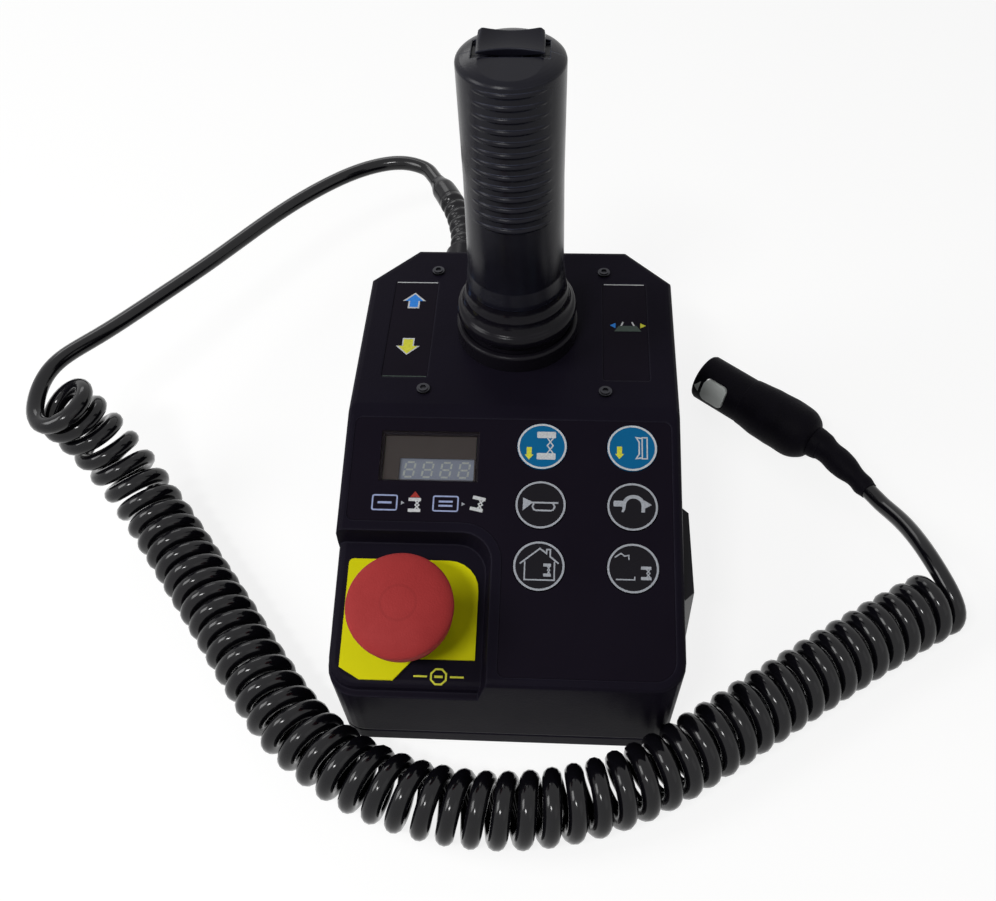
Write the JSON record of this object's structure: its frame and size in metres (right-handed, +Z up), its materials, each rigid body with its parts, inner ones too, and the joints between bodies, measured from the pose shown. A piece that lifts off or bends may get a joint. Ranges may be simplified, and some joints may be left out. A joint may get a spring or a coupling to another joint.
{
  "type": "scissor lift controller",
  "caption": "Hand-held lift controller: sloped keypad box with display, red stop button, ribbed joystick with rocker and trigger, and a curly cord with a round plug.",
  "frame": {"origin": "on the bench, under the middle of the case's footprint", "axes": "+X to the operator's right, +Y away from the operator towards the cable gland, +Z up out of the deck"},
  "size_m": [0.4074, 0.3555, 0.2205],
  "materials": {
    "case_moulding": "finely textured black moulding",
    "seal_rubber": "matt black rubber",
    "steel": "plated steel",
    "overlay_print": "satin printed polyester film",
    "smoked_window": "smoked acrylic",
    "digit_block": "grey moulded digit block",
    "circuit_board": "green solder mask",
    "blue_key": "satin blue key with a pale rim",
    "black_key": "satin black key with a pale rim",
    "yellow_sheet": "yellow printed sheet",
    "black_plastic": "satin black nylon",
    "nut_metal": "zinc alloy",
    "red_plastic": "matt red moulding",
    "soft_rubber": "soft black rubber",
    "bronze": "sintered bronze",
    "cord_jacket": "glossy black jacket",
    "grey_plastic": "light grey nylon"
  },
  "bodies": {
    "housing": {"upper_case": "case_moulding", "base_tray": "case_moulding", "case_seal": "seal_rubber", "case_screws": "steel", "side_bumper": "seal_rubber", "panel_overlay": "overlay_print", "deck_labels": "overlay_print", "display_lens": "smoked_window", "digit_module": "digit_block", "control_board": "circuit_board", "board_screws": "steel", "yellow_plate": "yellow_sheet", "stop_collar": "black_plastic", "stop_nut": "nut_metal", "stop_contacts": "black_plastic", "stop_spring": "steel", "stick_base": "black_plastic", "stick_screws": "steel", "stick_pin": "steel", "sensor_board": "circuit_board", "boot_ring": "black_plastic", "boot": "soft_rubber", "cable_gland": "black_plastic", "gland_nut": "black_plastic", "strain_relief": "soft_rubber", "cord_lead": "cord_jacket", "cord_curls": "cord_jacket", "cord_tail": "cord_jacket", "plug_sleeve": "soft_rubber", "plug_body": "black_plastic", "plug_shell": "black_plastic", "plug_insert": "grey_plastic"},
    "joystick": {"stick_bushes": "bronze", "stick_shaft": "steel", "centring_spring": "steel", "magnet_holder": "black_plastic", "grip_front": "soft_rubber", "grip_rear": "soft_rubber", "grip_screws": "steel", "rocker_switch": "black_plastic", "rocker_pin": "steel", "trigger_switch": "black_plastic", "trigger_pin": "steel", "trigger_spring": "steel"},
    "rocker": {"rocker_cap": "black_plastic"},
    "enable_trigger": {"trigger": "black_plastic"},
    "stop_shank": {"stop_plunger": "nut_metal"},
    "stop_mushroom": {"stop_head": "red_plastic"},
    "latch_tab": {"plug_latch": "grey_plastic"},
    "button_1": {"key_1": "blue_key"},
    "button_2": {"key_2": "blue_key"},
    "button_3": {"key_3": "black_key"},
    "button_4": {"key_4": "black_key"},
    "button_5": {"key_5": "black_key"},
    "button_6": {"key_6": "black_key"}
  },
  "joints": [
    {"name": "joystick_tilt", "type": "hinge", "parent": "housing", "child": "joystick", "pos_m": [0, 0.052, 0.071], "axis": [1, 0, 0], "range_deg": [-18, 18], "stiffness_Nm_per_rad": 1.2, "deforming": ["boot"]},
    {"name": "rocker_tilt", "type": "hinge", "parent": "joystick", "child": "rocker", "pos_m": [0, 0.052, 0.2078], "axis": [0, 1, 0], "range_deg": [-10, 10], "stiffness_Nm_per_rad": 0.08},
    {"name": "trigger_squeeze", "type": "hinge", "parent": "joystick", "child": "enable_trigger", "pos_m": [0, 0.065, 0.1923], "axis": [-1, 0, 0], "range_deg": [0, 8], "stiffness_Nm_per_rad": 0.12, "springref_deg": -2.86, "deforming": ["trigger_spring"]},
    {"name": "stop_press", "type": "slide", "parent": "housing", "child": "stop_shank", "axis": [0, 0.2817, -0.9595], "range_m": [0, 0.005], "deforming": ["stop_spring"]},
    {"name": "stop_twist", "type": "hinge", "parent": "stop_shank", "child": "stop_mushroom", "pos_m": [-0.0375, -0.08524, 0.07243], "axis": [0, -0.2817, 0.9595], "range_deg": [0, 30], "stiffness_Nm_per_rad": 0.03, "springref_deg": -2.86},
    {"name": "key_1_press", "type": "slide", "parent": "housing", "child": "button_1", "axis": [0, 0.2817, -0.9595], "range_m": [0, 0.0006], "stiffness_N_per_m": 800, "springref_m": -0.0006},
    {"name": "key_2_press", "type": "slide", "parent": "housing", "child": "button_2", "axis": [0, 0.2817, -0.9595], "range_m": [0, 0.0006], "stiffness_N_per_m": 800, "springref_m": -0.0006},
    {"name": "key_3_press", "type": "slide", "parent": "housing", "child": "button_3", "axis": [0, 0.2817, -0.9595], "range_m": [0, 0.0006], "stiffness_N_per_m": 800, "springref_m": -0.0006},
    {"name": "key_4_press", "type": "slide", "parent": "housing", "child": "button_4", "axis": [0, 0.2817, -0.9595], "range_m": [0, 0.0006], "stiffness_N_per_m": 800, "springref_m": -0.0006},
    {"name": "key_5_press", "type": "slide", "parent": "housing", "child": "button_5", "axis": [0, 0.2817, -0.9595], "range_m": [0, 0.0006], "stiffness_N_per_m": 800, "springref_m": -0.0006},
    {"name": "key_6_press", "type": "slide", "parent": "housing", "child": "button_6", "axis": [0, 0.2817, -0.9595], "range_m": [0, 0.0006], "stiffness_N_per_m": 800, "springref_m": -0.0006},
    {"name": "latch_push", "type": "slide", "parent": "housing", "child": "latch_tab", "axis": [0.6103, 0.7145, -0.342], "range_m": [0, 0.001], "stiffness_N_per_m": 500, "springref_m": -0.0006}
  ]
}
